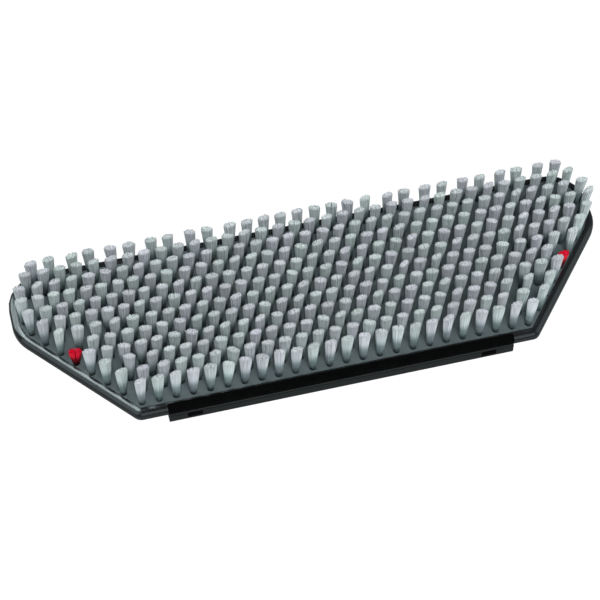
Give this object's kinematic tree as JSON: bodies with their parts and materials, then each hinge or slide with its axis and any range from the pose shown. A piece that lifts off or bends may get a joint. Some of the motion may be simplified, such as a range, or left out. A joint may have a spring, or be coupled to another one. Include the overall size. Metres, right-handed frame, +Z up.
{
  "type": "floor brush",
  "caption": "Trapezoid scrubbing brush head with staggered nylon tufts, red wear tufts, a rubber front bumper and hooks that slide onto a flat mop holder's plate.",
  "frame": {"origin": "under the middle of the brush, on the surface it lies on with its bristles up", "axes": "+X along the long back edge, -Y towards the short front edge with the rail, +Z up along the bristles"},
  "size_m": [0.4, 0.126, 0.0383],
  "materials": {
    "plate_plastic": "moulded dark blue-grey polypropylene, fine grain",
    "rail_plastic": "moulded dark grey plastic, satin",
    "black_rubber": "matte black rubber",
    "grey_bristle": "translucent grey nylon filaments",
    "red_bristle": "red nylon filaments",
    "screw_steel": "plain stainless steel"
  },
  "bodies": {
    "root": {"base_plate": "plate_plastic", "hook_rail": "rail_plastic", "bumper_strip": "black_rubber", "bristle_field_front": "grey_bristle", "bristle_field_mid_front": "grey_bristle", "bristle_field_mid_rear": "grey_bristle", "bristle_field_rear": "grey_bristle", "wear_tuft_left": "red_bristle", "wear_tuft_right": "red_bristle", "rear_hook_left": "rail_plastic", "rear_hook_middle": "rail_plastic", "rear_hook_right": "rail_plastic", "grip_pad_left": "black_rubber", "grip_pad_right": "black_rubber", "rail_screw_1": "screw_steel", "rail_screw_2": "screw_steel", "rail_screw_3": "screw_steel", "rail_screw_4": "screw_steel", "rail_screw_5": "screw_steel", "hook_screw_1": "screw_steel", "hook_screw_2": "screw_steel", "hook_screw_3": "screw_steel", "hook_screw_4": "screw_steel", "hook_screw_5": "screw_steel", "hook_screw_6": "screw_steel"}
  },
  "joints": []
}
